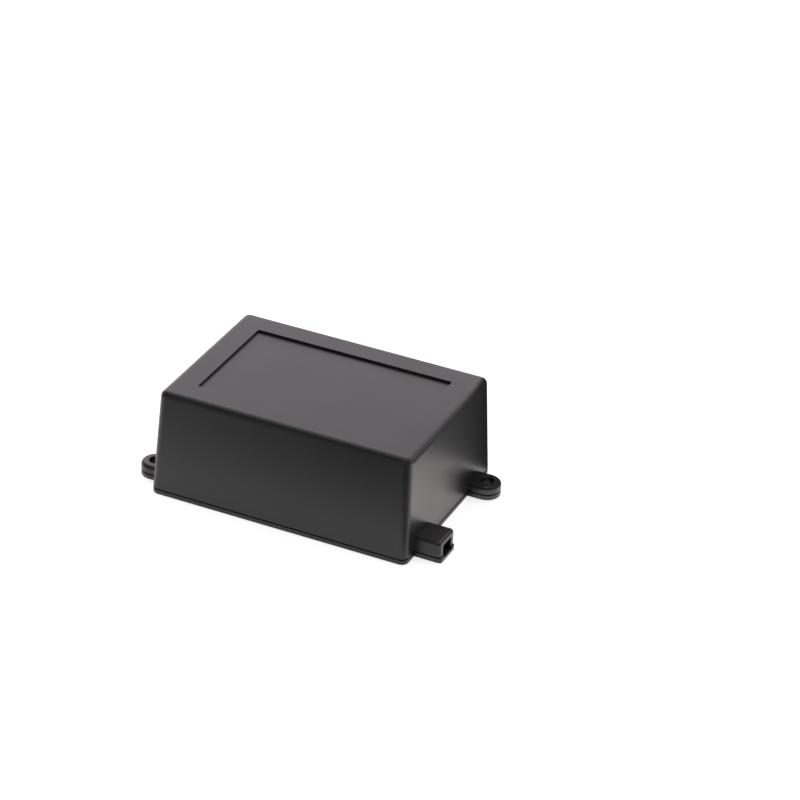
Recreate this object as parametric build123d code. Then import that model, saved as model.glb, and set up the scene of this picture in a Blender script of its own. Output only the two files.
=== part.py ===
from build123d import *
import os

# Plastic project box for a wall: a deep moulded cover on a shallow base plate.
# Two fixing ears and one cable nose stand out of the ends, half in each moulding.
# Sizes are in millimetres. X runs along the long side, Y from front to rear, Z up.
# The origin is the centre of the underside.

# Body, measured at the parting line between cover and base plate
BODY_LENGTH = 90.0
BODY_WIDTH = 65.2
BODY_HEIGHT = 36.5
BASE_THICKNESS = 2.2
CORNER_RADIUS = 2.5         # upright corners
TOP_EDGE_RADIUS = 2.1       # rounding round the top of the cover
LEAN_ENDS = 1.24            # how far each end wall leans in by the top
LEAN_SIDES = 2.6            # how far the front and rear walls lean in by the top
WALL = 2.0                  # cover's side walls
TOP_THICKNESS = 2.3         # cover's top
INSIDE_CORNER_RADIUS = 1.2  # cover's upright corners, inside
INSIDE_EDGE_RADIUS = 0.6    # rounding under the top
BOTTOM_EDGE_RADIUS = 0.6    # rounding under the base plate

# Label recess in the top
RECESS_LENGTH = 69.2
RECESS_WIDTH = 41.8
RECESS_DEPTH = 0.8
RECESS_CORNER_RADIUS = 0.5
RECESS_RIM_RADIUS = 0.15

# Shadow groove along the parting line, cut in the rim of the base plate
GROOVE_HEIGHT = 0.4
GROOVE_DEPTH = 0.5
RIM_EDGE_RADIUS = 0.2       # rounding of the rim, just under the groove

# Locating lip that stands on the base plate, inside the cover's walls
LIP_THICKNESS = 1.2
LIP_HEIGHT = 2.0
LIP_CLEARANCE = 0.25
LIP_GAP_AT_CABLE = 0.6      # how much wider than the cable way the lip is broken

# Fixing ears, one at each end, on opposite corners
EAR_RADIUS = 4.75
EAR_REACH = 9.1             # how far an ear stands out of the body
EAR_TOP_THICKNESS = 2.6     # the cover's half
EAR_EDGE_RADIUS = 1.2
EAR_HOLE_DIAMETER = 4.3
EAR_HOLE_RIM_RADIUS = 0.3
LEFT_EAR_FROM_FRONT = 11.5
RIGHT_EAR_FROM_REAR = 13.0
TONGUE_UNDERSIDE_RADIUS = 0.4   # rounding under the ears and the nose

# Cable nose at the right end
NOSE_WALL = 2.35            # beside the cable way
NOSE_REACH = 9.1            # how far the base plate's half stands out
NOSE_SETBACK = 0.5          # the cover's half ends this much earlier
NOSE_FROM_FRONT = 12.1
NOSE_CORNER_RADIUS = 1.2
NOSE_EDGE_RADIUS = 1.0
NOSE_ROOF = 1.85            # above the cable way
CABLE_WAY_WIDTH = 6.0
CABLE_WAY_HEIGHT = 4.2
CABLE_WAY_CORNER_RADIUS = 0.3
CABLE_WAY_FLOOR = 1.25      # what the base plate keeps under the cable
CABLE_WAY_RIM_RADIUS = 0.35 # rounding round its window in the nose's end

# Cover screws, driven from below
SCREW_HEAD_DIAMETER = 5.5
SCREW_HEAD_HEIGHT = 2.0
SCREW_HEAD_ROUNDING = 1.1
SCREW_SHANK_DIAMETER = 2.5
SCREW_LENGTH = 12.0
SCREW_TIP = 1.6             # length of the pointed end
DRIVE_SPAN = 3.0            # cross recess, tip to tip
DRIVE_SLOT = 0.8
DRIVE_DEPTH = 1.1
HEAD_SUNK = 0.5             # head lies this far inside the underside
HEAD_CLEARANCE = 0.4        # between head and well, on the radius
SHANK_CLEARANCE = 0.35      # through the base plate, on the radius
PILOT_CLEARANCE = 0.05      # in the cover's boss, on the radius
PILOT_SPARE = 1.0           # pilot hole beyond the screw's point

# Screw pillars on the base plate and bosses in the cover
PILLAR_RADIUS = 3.5
PILLAR_HEIGHT = 3.0         # above the base plate
PILLAR_FROM_END_WALL = 1.0
PILLAR_FROM_SIDE_WALL = 0.55
BOSS_RADIUS = 2.75
BOSS_GAP = 0.2              # between pillar and boss
BOSS_RIB_THICKNESS = 1.4

# Board posts on the base plate
POST_RADIUS = 2.75
POST_HEIGHT = 5.0
POST_FROM_END_WALL = 13.0
POST_FROM_SIDE_WALL = 11.85
POST_HOLE_DIAMETER = 2.1
POST_HOLE_DEPTH = 4.5

OVERLAP = 1.4               # how deep joined shapes reach into each other
CUT_EXTRA = 1.0             # how far cutters reach past a face

# Places worked out from the sizes above
HALF_LENGTH = BODY_LENGTH / 2
HALF_WIDTH = BODY_WIDTH / 2
COVER_HEIGHT = BODY_HEIGHT - BASE_THICKNESS
CEILING = BODY_HEIGHT - TOP_THICKNESS
INNER_X = HALF_LENGTH - WALL
INNER_Y = HALF_WIDTH - WALL
EAR_CENTRE_X = HALF_LENGTH + EAR_REACH - EAR_RADIUS
LEFT_EAR_Y = LEFT_EAR_FROM_FRONT - HALF_WIDTH
RIGHT_EAR_Y = HALF_WIDTH - RIGHT_EAR_FROM_REAR
NOSE_Y = NOSE_FROM_FRONT - HALF_WIDTH
EARS = ((-1, LEFT_EAR_Y), (1, RIGHT_EAR_Y))
CABLE_WAY_TOP = CABLE_WAY_FLOOR + CABLE_WAY_HEIGHT
NOSE_TOP = CABLE_WAY_TOP + NOSE_ROOF
NOSE_WIDTH = CABLE_WAY_WIDTH + 2 * NOSE_WALL
COVER_NOSE_END = HALF_LENGTH + NOSE_REACH - NOSE_SETBACK
BASE_NOSE_END = HALF_LENGTH + NOSE_REACH
SCREW_X = INNER_X - PILLAR_FROM_END_WALL - PILLAR_RADIUS
SCREW_Y = INNER_Y - PILLAR_FROM_SIDE_WALL - PILLAR_RADIUS
SCREW_SEAT = HEAD_SUNK + SCREW_HEAD_HEIGHT
SCREW_END = SCREW_SEAT + SCREW_LENGTH
PILLAR_TOP = BASE_THICKNESS + PILLAR_HEIGHT
BOSS_BOTTOM = PILLAR_TOP + BOSS_GAP
POST_X = INNER_X - POST_FROM_END_WALL
POST_Y = INNER_Y - POST_FROM_SIDE_WALL
CORNERS = ((-1, -1), (1, -1), (1, 1), (-1, 1))


def slab(sketch, bottom, top):
    """A flat shape raised between two heights."""
    return extrude(Plane.XY.offset(bottom) * sketch, top - bottom)


def block(x_range, y_range, z_range):
    """A plain block between two corners."""
    size = [high - low for low, high in (x_range, y_range, z_range)]
    middle = [(high + low) / 2 for low, high in (x_range, y_range, z_range)]
    return Pos(*middle) * Box(*size)


def rod(x, y, radius, bottom, top):
    """An upright round bar."""
    return Pos(x, y, (bottom + top) / 2) * Cylinder(radius, top - bottom)


def plan(inset, height, corner_radius):
    """The leaning body's outline at a height, moved in by an inset."""
    share = (height - BASE_THICKNESS) / COVER_HEIGHT
    length = BODY_LENGTH - 2 * inset - 2 * LEAN_ENDS * share
    width = BODY_WIDTH - 2 * inset - 2 * LEAN_SIDES * share
    return Plane.XY.offset(height) * RectangleRounded(length, width, corner_radius)


def leaning_body(inset, bottom, top, corner_radius, edge_radius):
    """The body's drafted form with its top edge rounded."""
    ends = [plan(inset, bottom, corner_radius), plan(inset, top, corner_radius)]
    body = loft(ends, ruled=True)
    rounding = min(edge_radius, corner_radius - 0.3)
    return fillet(body.edges().group_by(Axis.Z)[-1], rounding)


def outer_edges(solid, height):
    """Edges at one height, apart from the one across the buried inner end."""
    level = [e for e in solid.edges() if abs(e.center().Z - height) < 1e-4]
    buried = HALF_LENGTH - OVERLAP
    return [e for e in level if abs(abs(e.center().X) - buried) > 1e-3]


def ear(side, y, bottom, top, inset=0.0):
    """A tongue with a full round end, rooted in the end wall."""
    root = HALF_LENGTH - OVERLAP
    straight = EAR_CENTRE_X - root
    radius = EAR_RADIUS - inset
    middle = side * (root + straight / 2)
    outline = Pos(middle, y) * Rectangle(straight, 2 * radius)
    outline += Pos(side * EAR_CENTRE_X, y) * Circle(radius)
    return slab(outline, bottom, top)


def nose(reach, bottom, top, inset=0.0):
    """The cable nose's block, with its two upright outer corners rounded."""
    root = HALF_LENGTH - OVERLAP
    half = NOSE_WIDTH / 2 - inset
    end = HALF_LENGTH + reach - inset
    solid = block((root, end), (NOSE_Y - half, NOSE_Y + half), (bottom, top))
    upright = [e for e in solid.edges().filter_by(Axis.Z) if e.center().X > end - 1e-3]
    return fillet(upright, NOSE_CORNER_RADIUS - inset)


def ear_hole(side, y):
    """Cutter for one wall screw, through both halves of an ear."""
    top = BASE_THICKNESS + EAR_TOP_THICKNESS + CUT_EXTRA
    return rod(side * EAR_CENTRE_X, y, EAR_HOLE_DIAMETER / 2, -CUT_EXTRA, top)


def cable_way(floor):
    """Cutter for the cable, from the hollow out through the nose's end."""
    half = CABLE_WAY_WIDTH / 2
    x_range = (INNER_X - CUT_EXTRA, BASE_NOSE_END + CUT_EXTRA)
    way = block(x_range, (NOSE_Y - half, NOSE_Y + half), (floor, CABLE_WAY_TOP))
    return fillet(way.edges().filter_by(Axis.X).group_by(Axis.Z)[-1], CABLE_WAY_CORNER_RADIUS)


def recessed_body():
    """The body's form with the label recess, its rim slightly rounded."""
    body = leaning_body(0, BASE_THICKNESS, BODY_HEIGHT, CORNER_RADIUS, TOP_EDGE_RADIUS)
    label = RectangleRounded(RECESS_LENGTH, RECESS_WIDTH, RECESS_CORNER_RADIUS)
    body -= slab(label, BODY_HEIGHT - RECESS_DEPTH, BODY_HEIGHT + CUT_EXTRA)
    level = [e for e in body.edges() if abs(e.center().Z - BODY_HEIGHT) < 1e-4]
    level = [e for e in level if abs(e.center().X) < RECESS_LENGTH / 2 + 1e-3]
    rim = [e for e in level if abs(e.center().Y) < RECESS_WIDTH / 2 + 1e-3]
    return fillet(rim, RECESS_RIM_RADIUS)


def cover_ear(side, y):
    """The cover's half of an ear, rounded along its top edge and round its hole."""
    top = BASE_THICKNESS + EAR_TOP_THICKNESS
    tongue = ear(side, y, BASE_THICKNESS, top)
    tongue = fillet(outer_edges(tongue, top), EAR_EDGE_RADIUS) - ear_hole(side, y)
    circles = tongue.edges().filter_by(GeomType.CIRCLE)
    level = [e for e in circles if abs(e.center().Z - top) < 1e-4]
    return fillet([e for e in level if e.radius < EAR_HOLE_DIAMETER / 2 + 1e-3], EAR_HOLE_RIM_RADIUS)


def cover_nose():
    """The cover's half of the nose, rounded along its top edge."""
    spout = nose(NOSE_REACH - NOSE_SETBACK, BASE_THICKNESS, NOSE_TOP)
    return fillet(outer_edges(spout, NOSE_TOP), NOSE_EDGE_RADIUS)


def open_cable_way(cover):
    """Cut the cable way through the nose and round the window in its end."""
    cover -= cable_way(BASE_THICKNESS - CUT_EXTRA)
    heights = (BASE_THICKNESS + 1e-3, CABLE_WAY_TOP + 1e-3)
    end = [e for e in cover.edges() if abs(e.center().X - COVER_NOSE_END) < 1e-4]
    end = [e for e in end if heights[0] < e.center().Z < heights[1]]
    rim = [e for e in end if abs(e.center().Y - NOSE_Y) < CABLE_WAY_WIDTH / 2 + 1e-3]
    flat = NOSE_WALL - NOSE_CORNER_RADIUS - 0.05
    return fillet(rim, min(CABLE_WAY_RIM_RADIUS, flat))


def cover_shell():
    """The hood with ears and nose, hollowed from below."""
    shell = recessed_body() + cover_nose()
    for side, y in EARS:
        shell += cover_ear(side, y)
    mouth = BASE_THICKNESS - CUT_EXTRA
    return shell - leaning_body(WALL, mouth, CEILING, INSIDE_CORNER_RADIUS, INSIDE_EDGE_RADIUS)


def boss(x_side, y_side):
    """One screw boss with ribs to both walls, down from under the top."""
    x = x_side * SCREW_X
    y = y_side * SCREW_Y
    half = BOSS_RIB_THICKNESS / 2
    end_wall = x_side * (INNER_X + OVERLAP / 2)
    side_wall = y_side * (INNER_Y + OVERLAP / 2)
    z_range = (BOSS_BOTTOM, CEILING + OVERLAP / 2)
    post = rod(x, y, BOSS_RADIUS, *z_range)
    post += block(sorted((x, end_wall)), (y - half, y + half), z_range)
    post += block((x - half, x + half), sorted((y, side_wall)), z_range)
    return post


def build_cover():
    """The deep moulding."""
    cover = cover_shell()
    half_wall = WALL / 2
    middle = (half_wall, BASE_THICKNESS, CEILING + TOP_THICKNESS / 2)
    envelope = leaning_body(*middle, CORNER_RADIUS - half_wall, TOP_EDGE_RADIUS - half_wall)
    pilot_radius = SCREW_SHANK_DIAMETER / 2 + PILOT_CLEARANCE
    pilot_top = SCREW_END + PILOT_SPARE
    for x_side, y_side in CORNERS:
        cover += boss(x_side, y_side) & envelope
    for x_side, y_side in CORNERS:
        x = x_side * SCREW_X
        y = y_side * SCREW_Y
        cover -= rod(x, y, pilot_radius, BOSS_BOTTOM - CUT_EXTRA, pilot_top)
    return open_cable_way(cover)


def rounded_tongue(tongue, rim):
    """The base plate's half of an ear or the nose, with its outer edges rounded."""
    tongue = fillet(outer_edges(tongue, 0), TONGUE_UNDERSIDE_RADIUS)
    return fillet(outer_edges(tongue, rim), RIM_EDGE_RADIUS)


def base_slab():
    """The plate, ears and nose, with the shadow groove round the upper rim."""
    rim = BASE_THICKNESS - GROOVE_HEIGHT
    plate = slab(RectangleRounded(BODY_LENGTH, BODY_WIDTH, CORNER_RADIUS), 0, rim)
    plate = fillet(plate.edges().group_by(Axis.Z)[0], BOTTOM_EDGE_RADIUS)
    plate = fillet(plate.edges().group_by(Axis.Z)[-1], RIM_EDGE_RADIUS)
    for side, y in EARS:
        plate += rounded_tongue(ear(side, y, 0, rim), rim)
    plate += rounded_tongue(nose(NOSE_REACH, 0, rim), rim)
    length = BODY_LENGTH - 2 * GROOVE_DEPTH
    width = BODY_WIDTH - 2 * GROOVE_DEPTH
    step = RectangleRounded(length, width, CORNER_RADIUS - GROOVE_DEPTH)
    plate += slab(step, rim, BASE_THICKNESS)
    for side, y in EARS:
        plate += ear(side, y, rim, BASE_THICKNESS, GROOVE_DEPTH)
    plate += nose(NOSE_REACH, rim, BASE_THICKNESS, GROOVE_DEPTH)
    return plate


def locating_lip():
    """A low wall just inside the cover's walls, open at the cable way."""
    outside = WALL + LIP_CLEARANCE
    inside = outside + LIP_THICKNESS
    radius = INSIDE_CORNER_RADIUS - LIP_CLEARANCE
    outline = RectangleRounded(BODY_LENGTH - 2 * outside, BODY_WIDTH - 2 * outside, radius)
    outline -= Rectangle(BODY_LENGTH - 2 * inside, BODY_WIDTH - 2 * inside)
    lip = slab(outline, BASE_THICKNESS - GROOVE_HEIGHT, BASE_THICKNESS + LIP_HEIGHT)
    half = CABLE_WAY_WIDTH / 2 + LIP_GAP_AT_CABLE
    z_range = (BASE_THICKNESS, BASE_THICKNESS + LIP_HEIGHT + CUT_EXTRA)
    return lip - block((0, HALF_LENGTH), (NOSE_Y - half, NOSE_Y + half), z_range)


def build_base_plate():
    """The shallow moulding with its lip, screw pillars and board posts."""
    base = base_slab() + locating_lip()
    post_top = BASE_THICKNESS + POST_HEIGHT
    well_radius = SCREW_HEAD_DIAMETER / 2 + HEAD_CLEARANCE
    hole_radius = SCREW_SHANK_DIAMETER / 2 + SHANK_CLEARANCE
    inside = BASE_THICKNESS - GROOVE_HEIGHT
    for x_side, y_side in CORNERS:
        base += rod(x_side * SCREW_X, y_side * SCREW_Y, PILLAR_RADIUS, inside, PILLAR_TOP)
        base += rod(x_side * POST_X, y_side * POST_Y, POST_RADIUS, inside, post_top)
    for x_side, y_side in CORNERS:
        x = x_side * SCREW_X
        y = y_side * SCREW_Y
        base -= rod(x, y, well_radius, -CUT_EXTRA, SCREW_SEAT)
        base -= rod(x, y, hole_radius, -CUT_EXTRA, PILLAR_TOP + CUT_EXTRA)
        blind = (post_top - POST_HOLE_DEPTH, post_top + CUT_EXTRA)
        base -= rod(x_side * POST_X, y_side * POST_Y, POST_HOLE_DIAMETER / 2, *blind)
    for side, y in EARS:
        base -= ear_hole(side, y)
    base -= cable_way(CABLE_WAY_FLOOR)
    end = [e for e in base.edges() if abs(e.center().X - BASE_NOSE_END) < 1e-4]
    sill = [e for e in end if abs(e.center().Z - CABLE_WAY_FLOOR) < 1e-4]
    return fillet(sill, CABLE_WAY_RIM_RADIUS)


def build_screw(x, y):
    """One self-tapping pan head screw, point upwards. Its fine thread is left plain."""
    head = rod(x, y, SCREW_HEAD_DIAMETER / 2, HEAD_SUNK, SCREW_SEAT)
    head = fillet(head.edges().group_by(Axis.Z)[0], SCREW_HEAD_ROUNDING)
    drive = (HEAD_SUNK - CUT_EXTRA, HEAD_SUNK + DRIVE_DEPTH)
    long_way = DRIVE_SPAN / 2
    short_way = DRIVE_SLOT / 2
    head -= block((x - long_way, x + long_way), (y - short_way, y + short_way), drive)
    head -= block((x - short_way, x + short_way), (y - long_way, y + long_way), drive)
    radius = SCREW_SHANK_DIAMETER / 2
    shank = rod(x, y, radius, SCREW_SEAT, SCREW_END - SCREW_TIP)
    point = Cone(radius, radius / 4, SCREW_TIP)
    return head + shank + Pos(x, y, SCREW_END - SCREW_TIP / 2) * point


def build_cover_screws():
    """The four screws as one group of separate solids."""
    places = [(x_side * SCREW_X, y_side * SCREW_Y) for x_side, y_side in CORNERS]
    return Compound(children=[build_screw(x, y) for x, y in places])


def main():
    """Build each piece and write it to its own file."""
    os.makedirs("parts", exist_ok=True)
    export_step(build_cover(), "parts/cover.step")
    export_step(build_base_plate(), "parts/base_plate.step")
    export_step(build_cover_screws(), "parts/cover_screws.step")


main()
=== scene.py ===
import logging
import math
from dataclasses import dataclass
from enum import Enum
from typing import Any

import bmesh
import bpy
from mathutils import Matrix, Vector


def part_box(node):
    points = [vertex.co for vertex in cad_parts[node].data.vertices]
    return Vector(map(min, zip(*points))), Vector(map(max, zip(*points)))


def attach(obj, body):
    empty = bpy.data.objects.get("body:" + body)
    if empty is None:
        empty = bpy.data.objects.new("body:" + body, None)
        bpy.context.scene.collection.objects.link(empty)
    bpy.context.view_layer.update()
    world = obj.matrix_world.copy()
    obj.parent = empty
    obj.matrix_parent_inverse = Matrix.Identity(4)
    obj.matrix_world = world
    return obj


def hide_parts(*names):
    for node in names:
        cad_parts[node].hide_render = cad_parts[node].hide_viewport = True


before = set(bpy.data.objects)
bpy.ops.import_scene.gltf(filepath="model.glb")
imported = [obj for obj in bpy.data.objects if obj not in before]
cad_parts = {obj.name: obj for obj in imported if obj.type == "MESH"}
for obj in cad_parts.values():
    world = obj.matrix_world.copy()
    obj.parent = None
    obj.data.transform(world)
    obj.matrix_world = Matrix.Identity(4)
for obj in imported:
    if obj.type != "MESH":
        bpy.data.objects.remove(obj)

# Looks of a black plastic project box: a deep moulded cover on a shallow base plate,
# held by four self-tapping screws from below. Metres throughout, in the CAD's frame.

LOG = logging.getLogger("project_box")
MM = 0.001

NOISE_LOW, NOISE_HIGH = 0.3, 0.7                # most of a noise node's values lie here
FLOAT_A, FLOAT_B, FLOAT_OUT = 2, 3, 0           # a Mix node's sockets for numbers
COLOUR_A, COLOUR_B, COLOUR_OUT = 6, 7, 2        # and for colours


class Body(Enum):
    """The bodies that pieces ride on."""

    BASE = "base"
    COVER = "cover"


class Slot(Enum):
    """The record's material slots."""

    BLACK_ABS = "black_abs"
    ZINC_PLATED_STEEL = "zinc_plated_steel"


class RaySight(Enum):
    """Which of the renderer's rays see a piece of studio equipment."""

    EVERY_RAY = "every_ray"
    # for sheets of painted shade, which only reflections see
    REFLECTIONS_ONLY = "reflections_only"


def linear(hex_colour: str) -> tuple[float, float, float, float]:
    """Turn an sRGB hex colour into linear light.

    Args:
        hex_colour: Colour as #rrggbb.

    Returns:
        Linear red, green, blue and an alpha of 1.
    """
    parts = [int(hex_colour[i:i + 2], 16) / 255 for i in (1, 3, 5)]
    light = [p / 12.92 if p <= 0.04045 else ((p + 0.055) / 1.055) ** 2.4 for p in parts]
    return (light[0], light[1], light[2], 1.0)


def add_node(
    tree: bpy.types.NodeTree,
    kind: str,
    settings: dict[str, Any] | None = None,
    inputs: dict[str | int, Any] | None = None,
) -> bpy.types.Node:
    """Add one node with its settings and links.

    Args:
        tree: Node tree that takes the node.
        kind: Blender's name of the node type.
        settings: Attributes set on the node before its sockets are filled.
        inputs: Socket name or number, with a value, an output socket to link, or a list
            of output sockets for a socket that takes several.

    Returns:
        The new node.
    """
    node = tree.nodes.new(kind)
    for name, value in (settings or {}).items():
        setattr(node, name, value)
    for key, value in (inputs or {}).items():
        sources = value if isinstance(value, list) else [value]
        for source in sources:
            if isinstance(source, bpy.types.NodeSocket):
                tree.links.new(source, node.inputs[key])
            else:
                node.inputs[key].default_value = source
    return node


def empty_material(name: str) -> tuple[bpy.types.Material, bpy.types.NodeTree]:
    """Make a material whose node tree is still empty.

    Args:
        name: Name of the finish.

    Returns:
        The material and its node tree.
    """
    material = bpy.data.materials.new(name)
    material.use_nodes = True
    material.node_tree.nodes.clear()
    return material, material.node_tree


@dataclass(frozen=True)
class MouldedAbs:
    """Black ABS, injection moulded in a spark-eroded steel mould.

    The pigment leaves almost no colour of its own, so the eye sees mostly a satin
    reflection of the surroundings, broken by a very fine even grain.
    """

    name: str = "black_abs_spark_eroded"
    colour: str = "#161516"
    paler_colour: str = "#1a191b"
    roughness: float = 0.36
    roughness_spread: float = 0.03
    ior: float = 1.54
    grain_mm: float = 0.35          # the real grit is near 0.05 mm, too fine to show
    grain_detail: float = 1.0
    grain_height_mm: float = 0.0012
    flow_mm: float = 22.0           # slow change where the plastic cooled unevenly
    flow_detail: float = 3.0

    def build(self) -> bpy.types.Material:
        """Make the material.

        Returns:
            A material on Object coordinates, with no image.
        """
        material, tree = empty_material(self.name)
        place = add_node(tree, "ShaderNodeTexCoord").outputs["Object"]
        grain = add_node(tree, "ShaderNodeTexNoise", None, {
            "Vector": place, "Scale": 1 / (self.grain_mm * MM), "Detail": self.grain_detail,
        }).outputs["Fac"]
        flow = add_node(tree, "ShaderNodeTexNoise", None, {
            "Vector": place, "Scale": 1 / (self.flow_mm * MM), "Detail": self.flow_detail,
        }).outputs["Fac"]
        colour = add_node(tree, "ShaderNodeMix", {"data_type": "RGBA"}, {
            0: flow, COLOUR_A: linear(self.colour), COLOUR_B: linear(self.paler_colour),
        }).outputs[COLOUR_OUT]
        roughness = add_node(tree, "ShaderNodeMapRange", None, {
            "Value": flow, "From Min": NOISE_LOW, "From Max": NOISE_HIGH,
            "To Min": self.roughness - self.roughness_spread,
            "To Max": self.roughness + self.roughness_spread,
        }).outputs["Result"]
        bump = add_node(tree, "ShaderNodeBump", None, {
            "Strength": 1.0, "Distance": self.grain_height_mm * MM, "Height": grain,
        }).outputs["Normal"]
        shader = add_node(tree, "ShaderNodeBsdfPrincipled", None, {
            "Base Color": colour, "Roughness": roughness, "IOR": self.ior, "Normal": bump,
        })
        add_node(tree, "ShaderNodeOutputMaterial", None, {"Surface": shader.outputs[0]})
        return material


@dataclass(frozen=True)
class ZincPlatedSteel:
    """Cold-headed steel with bright zinc plating.

    Rolling and tumbling leave a soft metallic sheen with cloudy patches, and the plating
    gives it a faint blue cast.
    """

    name: str = "zinc_plated_steel_cold_headed"
    colour: str = "#b4b8bb"
    cloud_colour: str = "#9da2a6"
    roughness: float = 0.3
    roughness_spread: float = 0.08
    cloud_mm: float = 0.9
    cloud_detail: float = 3.0
    tumble_mm: float = 0.25         # dents from tumbling with the other screws
    tumble_detail: float = 2.0
    tumble_height_mm: float = 0.004

    def build(self) -> bpy.types.Material:
        """Make the material.

        Returns:
            A material on Object coordinates, with no image.
        """
        material, tree = empty_material(self.name)
        place = add_node(tree, "ShaderNodeTexCoord").outputs["Object"]
        cloud = add_node(tree, "ShaderNodeTexNoise", None, {
            "Vector": place, "Scale": 1 / (self.cloud_mm * MM), "Detail": self.cloud_detail,
        }).outputs["Fac"]
        tumble = add_node(tree, "ShaderNodeTexNoise", None, {
            "Vector": place, "Scale": 1 / (self.tumble_mm * MM), "Detail": self.tumble_detail,
        }).outputs["Fac"]
        colour = add_node(tree, "ShaderNodeMix", {"data_type": "RGBA"}, {
            0: cloud, COLOUR_A: linear(self.cloud_colour), COLOUR_B: linear(self.colour),
        }).outputs[COLOUR_OUT]
        roughness = add_node(tree, "ShaderNodeMapRange", None, {
            "Value": cloud, "From Min": NOISE_LOW, "From Max": NOISE_HIGH,
            "To Min": self.roughness - self.roughness_spread,
            "To Max": self.roughness + self.roughness_spread,
        }).outputs["Result"]
        bump = add_node(tree, "ShaderNodeBump", None, {
            "Strength": 1.0, "Distance": self.tumble_height_mm * MM, "Height": tumble,
        }).outputs["Normal"]
        shader = add_node(tree, "ShaderNodeBsdfPrincipled", None, {
            "Base Color": colour, "Metallic": 1.0, "Roughness": roughness, "Normal": bump,
        })
        add_node(tree, "ShaderNodeOutputMaterial", None, {"Surface": shader.outputs[0]})
        return material


@dataclass(frozen=True)
class ViewCamera:
    """The camera at the viewing angle of the photograph."""

    lens_mm: float = 149.330
    sensor_mm: float = 36.0
    azimuth: float = 23.688         # degrees
    elevation: float = 30.3145
    roll: float = 2.850
    aside_mm: float = -25.222       # where the origin lies from the camera's axis
    below_mm: float = 26.367
    distance_mm: float = 1071.2     # to the origin, along the camera's axis
    nearest: float = 0.01           # what the camera sees, in metres
    farthest: float = 50.0

    def build(self) -> bpy.types.Object:
        """Make the camera and set it as the scene's camera.

        Returns:
            The camera object.
        """
        turn, lift, roll = (math.radians(a) for a in (self.azimuth, self.elevation, self.roll))
        back = Vector((math.sin(turn) * math.cos(lift), -math.cos(turn) * math.cos(lift),
                       math.sin(lift)))
        level = Vector((math.cos(turn), math.sin(turn), 0.0))
        steep = back.cross(level)
        right = level * math.cos(roll) + steep * math.sin(roll)
        up = steep * math.cos(roll) - level * math.sin(roll)
        place = (back * self.distance_mm - right * self.aside_mm + up * self.below_mm) * MM
        data = bpy.data.cameras.new("camera")
        data.sensor_width = self.sensor_mm
        data.lens = self.lens_mm
        data.clip_start = self.nearest
        data.clip_end = self.farthest
        camera = bpy.data.objects.new("camera", data)
        bpy.context.scene.collection.objects.link(camera)
        axes = Matrix((right, up, back)).transposed()
        camera.matrix_world = Matrix.Translation(place) @ axes.to_4x4()
        bpy.context.scene.camera = camera
        return camera


@dataclass(frozen=True)
class SoftLamp:
    """One large soft box over the table."""

    name: str
    place: tuple[float, float, float]
    size: tuple[float, float]
    brightness: float               # 1 is white where it is seen in a mirror
    colour: str = "#ffffff"
    aim: tuple[float, float, float] = (0.0, 0.0, 0.015)

    def build(self) -> bpy.types.Object:
        """Hang the lamp so that it faces the object.

        Returns:
            The lamp object.
        """
        data = bpy.data.lights.new(self.name, "AREA")
        data.shape = "RECTANGLE"
        data.size, data.size_y = self.size
        data.energy = self.brightness * math.pi * self.size[0] * self.size[1]
        data.color = linear(self.colour)[:3]
        lamp = bpy.data.objects.new(self.name, data)
        bpy.context.scene.collection.objects.link(lamp)
        lamp.location = self.place
        facing = Vector(self.aim) - Vector(self.place)
        lamp.rotation_euler = facing.to_track_quat("-Z", "Y").to_euler()
        return lamp


@dataclass(frozen=True)
class StudioCard:
    """A flat card of one material, such as the table or a black sheet of painted shade."""

    name: str
    corners: tuple[tuple[float, float, float], ...]
    sight: RaySight = RaySight.REFLECTIONS_ONLY

    def build(self, material: bpy.types.Material) -> bpy.types.Object:
        """Set the card up and mark it as stage.

        Args:
            material: Finish of the card.

        Returns:
            The card object.
        """
        mesh = bpy.data.meshes.new(self.name)
        mesh.from_pydata(self.corners, [], [tuple(range(len(self.corners)))])
        mesh.materials.append(material)
        card = bpy.data.objects.new(self.name, mesh)
        bpy.context.scene.collection.objects.link(card)
        if self.sight is RaySight.REFLECTIONS_ONLY:
            card.visible_camera = False
            card.visible_diffuse = False
            card.visible_transmission = False
            card.visible_volume_scatter = False
            card.visible_shadow = False
        return card


def level_card(
    name: str, left: float, right: float, front: float, rear: float, lift: float = 0.0005,
) -> StudioCard:
    """A card that lies level, just above the table or higher."""
    return StudioCard(name, ((left, front, lift), (right, front, lift),
                             (right, rear, lift), (left, rear, lift)))


def upright_card(
    name: str, left: float, right: float, place_y: float, bottom: float, top: float,
) -> StudioCard:
    """A card that stands upright along X."""
    return StudioCard(name, ((left, place_y, bottom), (right, place_y, bottom),
                             (right, place_y, top), (left, place_y, top)))


@dataclass(frozen=True)
class PaintedShadeBlackCloth:
    """Matt black sheet of painted shade, which only reflections see, and which reflects next to
    nothing.
    """

    name: str = "painted_shade_black_cloth"
    colour: str = "#050505"

    def build(self) -> bpy.types.Material:
        """Make the cloth.

        Returns:
            A diffuse material.
        """
        material, tree = empty_material(self.name)
        cloth = add_node(tree, "ShaderNodeBsdfDiffuse", None, {"Color": linear(self.colour)})
        add_node(tree, "ShaderNodeOutputMaterial", None, {"Surface": cloth.outputs[0]})
        return material


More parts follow.
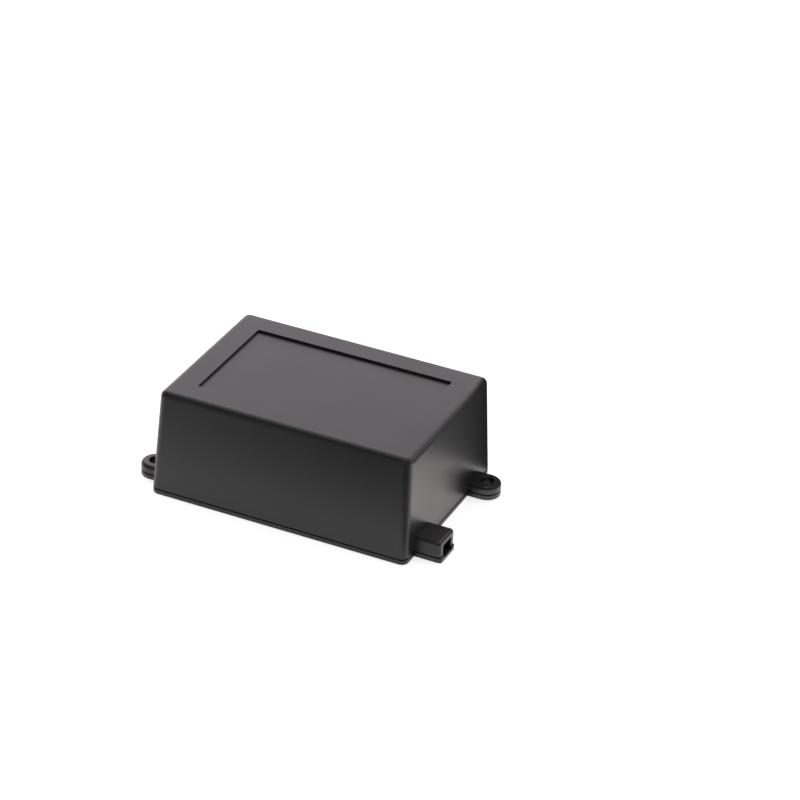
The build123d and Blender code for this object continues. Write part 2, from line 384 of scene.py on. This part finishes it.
@dataclass(frozen=True)
class PaintedShadeGreyCloth:
    """Matt grey sheet of painted shade, which only reflections see, paler towards +X, so that
    its reflection fades.
    """

    name: str = "painted_shade_grey_cloth"
    # the painted shade, darkest next to the box's right end
    painted_shade_colour: str = "#6c6c6c"
    pale_colour: str = "#bcbcbc"
    dark_x: float = 0.046
    pale_x: float = 0.062

    def build(self) -> bpy.types.Material:
        """Make the cloth.

        Returns:
            A diffuse material that changes along X.
        """
        material, tree = empty_material(self.name)
        place = add_node(tree, "ShaderNodeTexCoord").outputs["Object"]
        x = add_node(tree, "ShaderNodeSeparateXYZ", None, {0: place}).outputs["X"]
        share = add_node(tree, "ShaderNodeMapRange", None, {
            "Value": x, "From Min": self.dark_x, "From Max": self.pale_x,
        }).outputs["Result"]
        colour = add_node(tree, "ShaderNodeMix", {"data_type": "RGBA"}, {
            0: share, COLOUR_A: linear(self.painted_shade_colour), COLOUR_B: linear(self.pale_colour),
        }).outputs[COLOUR_OUT]
        cloth = add_node(tree, "ShaderNodeBsdfDiffuse", None, {"Color": colour})
        add_node(tree, "ShaderNodeOutputMaterial", None, {"Surface": cloth.outputs[0]})
        return material


@dataclass(frozen=True)
class PaintedShadeNet:
    """Black net of painted shade, which only reflections see, whose share of thread changes
    along Y and grows towards +X.
    """

    name: str = "painted_shade_black_net"
    colour: str = "#050505"
    thin_y: float = -0.058          # thinnest here
    dense_y: float = -0.098         # and full from here on
    thin_share: float = 0.0         # of the full density, where it is thinnest
    left_x: float = -0.09
    right_x: float = 0.0
    left_share: float = 0.64        # of the full density, at the left
    density: float = 1.0

    def build(self) -> bpy.types.Material:
        """Make the net.

        Returns:
            A black material, partly transparent.
        """
        material, tree = empty_material(self.name)
        place = add_node(tree, "ShaderNodeTexCoord").outputs["Object"]
        axes = add_node(tree, "ShaderNodeSeparateXYZ", None, {0: place}).outputs
        away = add_node(tree, "ShaderNodeMapRange", None, {
            "Value": axes["Y"], "From Min": self.thin_y, "From Max": self.dense_y,
            "To Min": self.thin_share,
        }).outputs["Result"]
        across = add_node(tree, "ShaderNodeMapRange", None, {
            "Value": axes["X"], "From Min": self.left_x, "From Max": self.right_x,
            "To Min": self.left_share * self.density, "To Max": self.density,
        }).outputs["Result"]
        density = add_node(tree, "ShaderNodeMath", {"operation": "MULTIPLY"}, {
            0: away, 1: across,
        }).outputs[0]
        cloth = add_node(tree, "ShaderNodeBsdfDiffuse", None, {"Color": linear(self.colour)})
        gaps = add_node(tree, "ShaderNodeBsdfTransparent")
        net = add_node(tree, "ShaderNodeMixShader", None, {
            0: density, 1: gaps.outputs[0], 2: cloth.outputs[0],
        })
        add_node(tree, "ShaderNodeOutputMaterial", None, {"Surface": net.outputs[0]})
        return material


@dataclass(frozen=True)
class WhiteTable:
    """Matt white studio table. Its fill whitens it, and the object's shadow stays in view.

    The fill is an emission, with a strength of 1 as white. Reflections see it stronger
    behind the object, and weaker in front of it and beside the end walls: painted
    shade on the table, which only reflections see.
    """

    name: str = "matt_white_table"
    colour: str = "#f0f0f0"
    cast: str = "#fff6f4"           # faint tint of the fill in reflections
    seen_fill: float = 0.6          # for the camera, lights nothing
    rear_fill: float = 1.0          # for reflections, behind the object
    front_painted_shade: float = 0.5         # painted shade in reflections, in front of it
    front_y: float = -0.04          # from where it fades
    rear_y: float = 0.0             # to here
    contact_painted_shade: float = 0.1       # painted shade in reflections, where the end walls shade the table
    contact_x: float = 0.0455       # from the middle to here
    clear_x: float = 0.048          # and no more from here on
    contact_rear_y: float = 0.0335  # as far back as this

    def build(self) -> bpy.types.Material:
        """Make the table's finish.

        Returns:
            A matt white material with a fill for the camera and for reflections.
        """
        material, tree = empty_material(self.name)
        path = add_node(tree, "ShaderNodeLightPath").outputs
        place = add_node(tree, "ShaderNodeTexCoord").outputs["Object"]
        axes = add_node(tree, "ShaderNodeSeparateXYZ", None, {0: place}).outputs
        from_middle = add_node(tree, "ShaderNodeMath", {"operation": "ABSOLUTE"}, {
            0: axes["X"],
        }).outputs[0]
        # painted shade in reflections: the fill drops beside the end walls
        contact = add_node(tree, "ShaderNodeMapRange", None, {
            "Value": from_middle, "From Min": self.contact_x, "From Max": self.clear_x,
            "To Min": self.contact_painted_shade, "To Max": self.rear_fill,
        }).outputs["Result"]
        beside = add_node(tree, "ShaderNodeMath", {"operation": "LESS_THAN"}, {
            0: axes["Y"], 1: self.contact_rear_y,
        }).outputs[0]
        rear = add_node(tree, "ShaderNodeMix", {"data_type": "FLOAT"}, {
            0: beside, FLOAT_A: self.rear_fill, FLOAT_B: contact,
        }).outputs[FLOAT_OUT]
        # painted shade in reflections: the fill fades out in front of the object
        mirrored = add_node(tree, "ShaderNodeMapRange", {"interpolation_type": "SMOOTHSTEP"}, {
            "Value": axes["Y"], "From Min": self.front_y, "From Max": self.rear_y,
            "To Min": self.front_painted_shade, "To Max": rear,
        }).outputs["Result"]
        direct = add_node(tree, "ShaderNodeMath", {"operation": "MAXIMUM"}, {
            0: path["Is Camera Ray"], 1: path["Is Transmission Ray"],
        }).outputs[0]
        seen = add_node(tree, "ShaderNodeMath", {"operation": "MULTIPLY"}, {
            0: direct, 1: self.seen_fill,
        }).outputs[0]
        strength = add_node(tree, "ShaderNodeMix", {"data_type": "FLOAT"}, {
            0: path["Is Glossy Ray"], FLOAT_A: seen, FLOAT_B: mirrored,
        }).outputs[FLOAT_OUT]
        tint = add_node(tree, "ShaderNodeMix", {"data_type": "RGBA"}, {
            0: path["Is Glossy Ray"], COLOUR_A: linear("#ffffff"), COLOUR_B: linear(self.cast),
        }).outputs[COLOUR_OUT]
        lit = add_node(tree, "ShaderNodeBsdfDiffuse", None, {"Color": linear(self.colour)})
        fill = add_node(tree, "ShaderNodeEmission", None, {"Color": tint, "Strength": strength})
        both = add_node(tree, "ShaderNodeAddShader", None, {
            0: lit.outputs[0], 1: fill.outputs[0],
        })
        add_node(tree, "ShaderNodeOutputMaterial", None, {"Surface": both.outputs[0]})
        return material


@dataclass(frozen=True)
class GlowBand:
    """A level band of the surround that reflections see.

    Its heights are the sine of the angle above the horizon. One above 1 is past the
    zenith and never reached.
    """

    strength: float
    rise: float                     # nothing below this height
    full: float                     # full strength from here
    fall: float                     # to here
    gone: float                     # and nothing above this height


@dataclass(frozen=True)
class WhiteSurround:
    """The world: white to the eye, even light, and dimmer reflections in front."""

    name: str = "white_surround"
    cast: str = "#fff6fc"           # faint tint of reflections
    light: float = 0.75             # what falls on the object
    bright_side: float = 0.9        # what reflections see at the rear
    bright_y: float = 0.5           # from this direction on
    dim_side: float = 0.06          # and on the camera's side
    dim_y: float = -0.1             # from this direction on
    glows: tuple[GlowBand, ...] = (
        GlowBand(0.4, rise=0.1, full=0.3, fall=0.45, gone=0.6),     # a pale wall, low down
        GlowBand(1.0, rise=0.86, full=0.95, fall=1.1, gone=1.2),    # a soft box overhead
    )

    def build(self) -> bpy.types.World:
        """Make the world and set it as the scene's world.

        Returns:
            The world.
        """
        world = bpy.data.worlds.new(self.name)
        bpy.context.scene.world = world
        world.use_nodes = True
        tree = world.node_tree
        tree.nodes.clear()
        path = add_node(tree, "ShaderNodeLightPath").outputs
        direction = add_node(tree, "ShaderNodeTexCoord").outputs["Generated"]
        axes = add_node(tree, "ShaderNodeSeparateXYZ", None, {0: direction}).outputs
        mirrored = add_node(tree, "ShaderNodeMapRange", {"interpolation_type": "SMOOTHSTEP"}, {
            "Value": axes["Y"], "From Min": self.dim_y, "From Max": self.bright_y,
            "To Min": self.dim_side, "To Max": self.bright_side,
        }).outputs["Result"]
        for glow in self.glows:
            slopes = [add_node(tree, "ShaderNodeMapRange", None, {
                "Value": axes["Z"], "From Min": none, "From Max": full, "To Max": glow.strength,
            }).outputs["Result"] for none, full in ((glow.rise, glow.full),
                                                    (glow.gone, glow.fall))]
            band = add_node(tree, "ShaderNodeMath", {"operation": "MINIMUM"}, {
                0: slopes[0], 1: slopes[1],
            }).outputs[0]
            mirrored = add_node(tree, "ShaderNodeMath", {"operation": "MAXIMUM"}, {
                0: mirrored, 1: band,
            }).outputs[0]
        unseen = add_node(tree, "ShaderNodeMix", {"data_type": "FLOAT"}, {
            0: path["Is Glossy Ray"], FLOAT_A: self.light, FLOAT_B: mirrored,
        }).outputs[FLOAT_OUT]
        direct = add_node(tree, "ShaderNodeMath", {"operation": "MAXIMUM"}, {
            0: path["Is Camera Ray"], 1: path["Is Transmission Ray"],
        }).outputs[0]
        strength = add_node(tree, "ShaderNodeMix", {"data_type": "FLOAT"}, {
            0: direct, FLOAT_A: unseen, FLOAT_B: 1.0,
        }).outputs[FLOAT_OUT]
        colour = add_node(tree, "ShaderNodeMix", {"data_type": "RGBA"}, {
            0: path["Is Glossy Ray"], COLOUR_A: linear("#ffffff"), COLOUR_B: linear(self.cast),
        }).outputs[COLOUR_OUT]
        light = add_node(tree, "ShaderNodeBackground", None, {
            "Color": colour, "Strength": strength,
        })
        add_node(tree, "ShaderNodeOutputWorld", None, {"Surface": light.outputs[0]})
        return world


@dataclass
class Studio:
    """A plain pale table under soft light, with a white surround, two flags and two nets.

    Only reflections see the flags and nets. They paint shade into parts of the box's sheen.
    """

    table_half: float = 3.0
    table_below: float = 0.00003    # keeps the table's top clear of the underside
    # painted shade in reflections: an upright grey sheet behind the right end
    painted_shade_flag_right: StudioCard = upright_card("painted_shade_flag_right", 0.041, 0.13, 0.0335, 0.0, 0.042)
    # painted shadow in reflections: a black sheet on the table, front right of the box
    painted_shade_flag_corner: StudioCard = level_card("painted_shade_flag_corner", 0.052, 0.20, -0.30, -0.038)
    # painted shade in reflections: black nets in front of the box and over its rear left
    painted_shade_net_front: StudioCard = level_card("painted_shade_net_front", -0.30, 0.30, -0.50, -0.045)
    painted_shade_net_over: StudioCard = level_card("painted_shade_net_over", -0.12, 0.03, 0.05, 0.19, 0.12)
    thin_shade_net: PaintedShadeNet = PaintedShadeNet(
        name="thin_painted_shade_net", thin_y=0.165, dense_y=0.095, thin_share=0.3,
        left_x=-0.10, right_x=-0.015, left_share=0.5, density=0.36)
    lamps: tuple[SoftLamp, ...] = (
        SoftLamp("soft_box_rear", (-0.55, 1.25, 0.80), (2.0, 1.4), 0.9, "#fff6fc"),
    )

    def build_table(self) -> bpy.types.Object:
        """Lay the table under the object.

        Returns:
            The table.
        """
        half = self.table_half
        corners = tuple((x * half, y * half, -self.table_below)
                        for x, y in ((-1, -1), (1, -1), (1, 1), (-1, 1)))
        return StudioCard("table", corners, RaySight.EVERY_RAY).build(WhiteTable().build())

    def build(self) -> None:
        """Set up table, surround, flags, nets and lamps."""
        self.build_table()
        WhiteSurround().build()
        self.painted_shade_flag_right.build(PaintedShadeGreyCloth().build())
        self.painted_shade_flag_corner.build(PaintedShadeBlackCloth().build())
        self.painted_shade_net_front.build(PaintedShadeNet().build())
        self.painted_shade_net_over.build(self.thin_shade_net.build())
        for lamp in self.lamps:
            lamp.build()
        LOG.info("studio: table, surround, two flags, two nets, %d soft lamps", len(self.lamps))


@dataclass
class Moulding:
    """One of the two moulded parts, shown as its CAD node in a finished material."""

    node: str
    finish: MouldedAbs

    def dress(self) -> None:
        """Give the node its material."""
        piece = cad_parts[self.node]
        material = bpy.data.materials.get(self.finish.name) or self.finish.build()
        for slot in piece.material_slots:
            slot.material = material
        LOG.info("%s: %d faces in %s", self.node, len(piece.data.polygons), material.name)


@dataclass
class CoverScrews:
    """Four self-tapping pan head screws, driven from below, points up.

    Sizes are in millimetres, as on the CAD node that they replace.
    """

    node: str = "cover_screws"
    piece: str = "cover_screws_threaded"
    head_diameter: float = 5.5
    head_height: float = 2.0
    head_rounding: float = 1.1
    core_diameter: float = 1.9
    crest_diameter: float = 2.56    # stays clear of the cover's pilot holes
    pitch: float = 1.0
    length: float = 12.0            # under the head
    tip: float = 1.6
    point_share: float = 0.2        # of the core's radius, left at the point
    drawn_share: float = 0.1        # of the thread's radius, left at the point
    drive_span: float = 3.0         # cross recess, tip to tip
    drive_slot: float = 0.8
    drive_depth: float = 1.1
    blade_share: float = 2.0        # half of a blade stands above the head and cuts nothing
    crossing_share: float = 1.9     # the second ends a little higher, so not flush
    turn_seed: int = 7              # how far each screw is turned

    path_radius: float = 1.0        # the section sweeps round this, set back by as much
    weld: float = 0.002             # points nearer than this become one
    head_steps: int = 48            # faces round the screw
    rounding_steps: int = 10
    thread_steps: int = 24          # in one turn of the thread
    tooth_sides: int = 3
    crease_degrees: float = 32.0    # edges steeper than this stay sharp

    def inputs(self) -> dict[str, float]:
        """Collect the node tree's inputs, with the screws' places from the CAD.

        Returns:
            Sizes in metres, by input name.
        """
        low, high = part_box(self.node)
        return {
            "Head Radius": self.head_diameter / 2 * MM,
            "Head Height": self.head_height * MM,
            "Head Rounding": self.head_rounding * MM,
            "Core Radius": self.core_diameter / 2 * MM,
            "Crest Radius": self.crest_diameter / 2 * MM,
            "Pitch": self.pitch * MM,
            "Length": self.length * MM,
            "Tip": self.tip * MM,
            "Drive Span": self.drive_span * MM,
            "Drive Slot": self.drive_slot * MM,
            "Drive Depth": self.drive_depth * MM,
            "Spacing X": high[0] - low[0] - self.head_diameter * MM,
            "Spacing Y": high[1] - low[1] - self.head_diameter * MM,
            "Underside": low[2],
        }

    def sizes(self, tree: bpy.types.NodeTree) -> dict[str | float, Any]:
        """Add the group's input node and the sizes that follow from the inputs.

        Args:
            tree: Geometry node tree whose inputs are already named.

        Returns:
            Output sockets by name, the inputs and the worked out sizes alike.
        """
        given = add_node(tree, "NodeGroupInput").outputs
        size = {name: given[name] for name in (*self.inputs(), "Turn Seed")}
        for name, operation, first, second in (
            ("Head Flat", "SUBTRACT", "Head Radius", "Head Rounding"),
            ("End", "ADD", "Head Height", "Length"),
            ("Tip Start", "SUBTRACT", "End", "Tip"),
            ("Point Radius", "MULTIPLY", "Core Radius", self.point_share),
            ("Blade Depth", "MULTIPLY", "Drive Depth", self.blade_share),
            ("Crossing Depth", "MULTIPLY", "Drive Depth", self.crossing_share),
            ("Thread Start", "ADD", "Head Height", "Pitch"),
            ("Thread Run", "SUBTRACT", "Length", "Pitch"),
            ("Thread Turns", "DIVIDE", "Thread Run", "Pitch"),
            ("Thread Depth", "SUBTRACT", "Crest Radius", "Core Radius"),
        ):
            size[name] = add_node(tree, "ShaderNodeMath", {"operation": operation}, {
                0: size[first], 1: size.get(second, second),
            }).outputs[0]
        return size

    def outline(
        self, tree: bpy.types.NodeTree, size: dict[str | float, Any],
    ) -> bpy.types.NodeSocket:
        """Draw half of the screw's section as a curve in X and Y, from head to point.

        Args:
            tree: Geometry node tree.
            size: Sockets of the screw's sizes, by name.

        Returns:
            The joined curve, Y along the screw's axis.
        """
        head_corner, *stations = [
            add_node(tree, "ShaderNodeCombineXYZ", None, {
                "X": size.get(x, x), "Y": size.get(y, y),
            }).outputs[0]
            for x, y in (
                ("Head Radius", 0.0),
                (0.0, 0.0),
                ("Head Flat", 0.0),
                ("Head Radius", "Head Rounding"),
                ("Head Radius", "Head Height"),
                ("Core Radius", "Head Height"),
                ("Core Radius", "Tip Start"),
                ("Point Radius", "End"),
                (0.0, "End"),
            )
        ]
        pieces = []
        for start, stop in zip(stations, stations[1:]):
            if start is stations[1]:
                piece = add_node(tree, "GeometryNodeCurveQuadraticBezier", None, {
                    "Resolution": self.rounding_steps,
                    "Start": start, "Middle": head_corner, "End": stop,
                })
            else:
                piece = add_node(tree, "GeometryNodeCurvePrimitiveLine", None, {
                    "Start": start, "End": stop,
                })
            pieces.append(piece.outputs[0])
        return add_node(tree, "GeometryNodeJoinGeometry", None, {0: pieces}).outputs[0]

    def turned(
        self, tree: bpy.types.NodeTree, size: dict[str | float, Any],
    ) -> bpy.types.NodeSocket:
        """Turn the section round the axis, and press the cross recess into the head.

        Args:
            tree: Geometry node tree.
            size: Sockets of the screw's sizes, by name.

        Returns:
            The screw without its thread, as one closed mesh.
        """
        path_radius = self.path_radius * MM
        path = add_node(tree, "GeometryNodeCurvePrimitiveCircle", None, {
            "Resolution": self.head_steps, "Radius": path_radius,
        }).outputs[0]
        section = add_node(tree, "GeometryNodeTransform", None, {
            "Geometry": self.outline(tree, size), "Translation": (-path_radius, 0.0, 0.0),
            "Scale": (1.0, -1.0, 1.0),
        }).outputs[0]
        skin = add_node(tree, "GeometryNodeCurveToMesh", None, {
            "Curve": path, "Profile Curve": section,
        }).outputs[0]
        skin = add_node(tree, "GeometryNodeMergeByDistance", None, {
            "Geometry": skin, "Distance": self.weld * MM,
        }).outputs[0]
        skin = add_node(tree, "GeometryNodeFlipFaces", None, {"Mesh": skin}).outputs[0]
        blades = []
        for x, y, depth in (("Drive Span", "Drive Slot", "Blade Depth"),
                            ("Drive Slot", "Drive Span", "Crossing Depth")):
            box = add_node(tree, "ShaderNodeCombineXYZ", None, {
                "X": size[x], "Y": size[y], "Z": size[depth],
            }).outputs[0]
            blades.append(add_node(tree, "GeometryNodeMeshCube", None, {
                "Size": box,
            }).outputs[0])
        cross = add_node(tree, "GeometryNodeMeshBoolean", {
            "operation": "UNION", "solver": "EXACT",
        }, {"Mesh 2": blades}).outputs[0]
        return add_node(tree, "GeometryNodeMeshBoolean", {
            "operation": "DIFFERENCE", "solver": "EXACT",
        }, {"Mesh 1": skin, "Mesh 2": cross}).outputs[0]

    def thread(
        self, tree: bpy.types.NodeTree, size: dict[str | float, Any],
    ) -> bpy.types.NodeSocket:
        """Wind the thread round the core and draw it in at the point.

        Args:
            tree: Geometry node tree.
            size: Sockets of the screw's sizes, by name.

        Returns:
            The thread as a closed mesh, on the same axis as the screw.
        """
        spiral = add_node(tree, "GeometryNodeCurveSpiral", None, {
            "Resolution": self.thread_steps, "Rotations": size["Thread Turns"],
            "Start Radius": size["Core Radius"], "End Radius": size["Core Radius"],
            "Height": size["Thread Run"],
        }).outputs[0]
        upright = add_node(tree, "GeometryNodeSetCurveNormal", {"mode": "Z_UP"}, {
            "Curve": spiral,
        }).outputs[0]
        triangle = add_node(tree, "GeometryNodeCurvePrimitiveCircle", None, {
            "Resolution": self.tooth_sides, "Radius": size["Thread Depth"],
        }).outputs[0]
        tooth = add_node(tree, "GeometryNodeTransform", None, {
            "Geometry": triangle, "Rotation": (0.0, 0.0, math.pi),
        }).outputs[0]
        wound = add_node(tree, "GeometryNodeCurveToMesh", None, {
            "Curve": upright, "Profile Curve": tooth, "Fill Caps": True,
        }).outputs[0]
        lift = add_node(tree, "ShaderNodeCombineXYZ", None, {
            "Z": size["Thread Start"],
        }).outputs[0]
        raised = add_node(tree, "GeometryNodeTransform", None, {
            "Geometry": wound, "Translation": lift,
        }).outputs[0]
        place = add_node(tree, "GeometryNodeInputPosition").outputs[0]
        axes = add_node(tree, "ShaderNodeSeparateXYZ", None, {0: place}).outputs
        share = add_node(tree, "ShaderNodeMapRange", None, {
            "Value": axes["Z"], "From Min": size["Tip Start"], "From Max": size["End"],
            "To Min": 1.0, "To Max": self.drawn_share,
        }).outputs["Result"]
        height = add_node(tree, "ShaderNodeMath", {"operation": "MINIMUM"}, {
            0: axes["Z"], 1: size["End"],
        }).outputs[0]
        inward = [add_node(tree, "ShaderNodeMath", {"operation": "MULTIPLY"}, {
            0: axes[name], 1: share,
        }).outputs[0] for name in ("X", "Y")]
        drawn_in = add_node(tree, "ShaderNodeCombineXYZ", None, {
            "X": inward[0], "Y": inward[1], "Z": height,
        }).outputs[0]
        return add_node(tree, "GeometryNodeSetPosition", None, {
            "Geometry": raised, "Position": drawn_in,
        }).outputs[0]

    def tree(self, material: bpy.types.Material) -> bpy.types.NodeTree:
        """Build the node tree for all four screws.

        Args:
            material: Finish that the tree sets.

        Returns:
            A geometry node tree with named inputs.
        """
        tree = bpy.data.node_groups.new("cover_screws_tree", "GeometryNodeTree")
        face = tree.interface
        for name in self.inputs():
            face.new_socket(name=name, in_out="INPUT", socket_type="NodeSocketFloat")
        face.new_socket(name="Turn Seed", in_out="INPUT", socket_type="NodeSocketInt")
        face.new_socket(name="Geometry", in_out="OUTPUT", socket_type="NodeSocketGeometry")
        size = self.sizes(tree)
        screw = add_node(tree, "GeometryNodeJoinGeometry", None, {
            0: [self.turned(tree, size), self.thread(tree, size)],
        }).outputs[0]
        grid = add_node(tree, "GeometryNodeMeshGrid", None, {
            "Size X": size["Spacing X"], "Size Y": size["Spacing Y"],
            "Vertices X": 2, "Vertices Y": 2,
        }).outputs[0]
        lift = add_node(tree, "ShaderNodeCombineXYZ", None, {"Z": size["Underside"]}).outputs[0]
        corners = add_node(tree, "GeometryNodeTransform", None, {
            "Geometry": grid, "Translation": lift,
        }).outputs[0]
        turn = add_node(tree, "FunctionNodeRandomValue", {"data_type": "FLOAT"}, {
            2: 0.0, 3: math.tau, "Seed": size["Turn Seed"],
        }).outputs[1]
        about_z = add_node(tree, "ShaderNodeCombineXYZ", None, {"Z": turn}).outputs[0]
        placed = add_node(tree, "GeometryNodeInstanceOnPoints", None, {
            "Points": corners, "Instance": screw, "Rotation": about_z,
        }).outputs[0]
        real = add_node(tree, "GeometryNodeRealizeInstances", None, {0: placed}).outputs[0]
        smooth = add_node(tree, "GeometryNodeSetShadeSmooth", None, {0: real}).outputs[0]
        angle = add_node(tree, "GeometryNodeInputMeshEdgeAngle").outputs[0]
        sharp = add_node(tree, "FunctionNodeCompare", {"operation": "GREATER_THAN"}, {
            0: angle, 1: math.radians(self.crease_degrees),
        }).outputs[0]
        creased = add_node(tree, "GeometryNodeSetShadeSmooth", {"domain": "EDGE"}, {
            "Geometry": smooth, "Selection": sharp, "Shade Smooth": False,
        }).outputs[0]
        dressed = add_node(tree, "GeometryNodeSetMaterial", None, {
            "Geometry": creased, "Material": material,
        }).outputs[0]
        add_node(tree, "NodeGroupOutput", None, {0: dressed})
        return tree

    def build(self, finish: ZincPlatedSteel) -> bpy.types.Object:
        """Make the four screws as one mesh in place of the CAD node.

        Args:
            finish: Finish of the screws.

        Returns:
            The piece, on the base body.
        """
        material = finish.build()
        tree = self.tree(material)
        carrier = bpy.data.objects.new("screws_carrier", bpy.data.meshes.new("screws_carrier"))
        bpy.context.scene.collection.objects.link(carrier)
        modifier = carrier.modifiers.new("screws", "NODES")
        modifier.node_group = tree
        values = {**self.inputs(), "Turn Seed": self.turn_seed}
        for item in tree.interface.items_tree:
            if item.in_out == "INPUT":
                modifier[item.identifier] = values[item.name]
        evaluated = carrier.evaluated_get(bpy.context.evaluated_depsgraph_get())
        mesh = bpy.data.meshes.new_from_object(evaluated)
        mesh.name = self.piece
        shape = bmesh.new()
        shape.from_mesh(mesh)
        bmesh.ops.delete(shape, geom=[v for v in shape.verts if not v.link_faces])
        shape.to_mesh(mesh)
        shape.free()
        mesh.materials.clear()
        mesh.materials.append(material)
        mesh.polygons.foreach_set("material_index", [0] * len(mesh.polygons))
        carrier.modifiers.remove(modifier)
        bpy.data.objects.remove(carrier)
        piece = bpy.data.objects.new(self.piece, mesh)
        bpy.context.scene.collection.objects.link(piece)
        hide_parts(self.node)
        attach(piece, Body.BASE.value)
        LOG.info("%s: %d faces in %s", piece.name, len(mesh.polygons), material.name)
        return piece


def main() -> None:
    """Build the studio and the box's pieces."""
    logging.basicConfig(level=logging.INFO, format="%(name)s: %(message)s")
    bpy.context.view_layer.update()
    bpy.context.scene.view_settings.view_transform = "Standard"
    ViewCamera().build()
    Studio().build()
    abs_finish = MouldedAbs()
    for node in ("cover", "base_plate"):
        Moulding(node, abs_finish).dress()
    CoverScrews().build(ZincPlatedSteel())


if __name__ == "__main__":
    main()
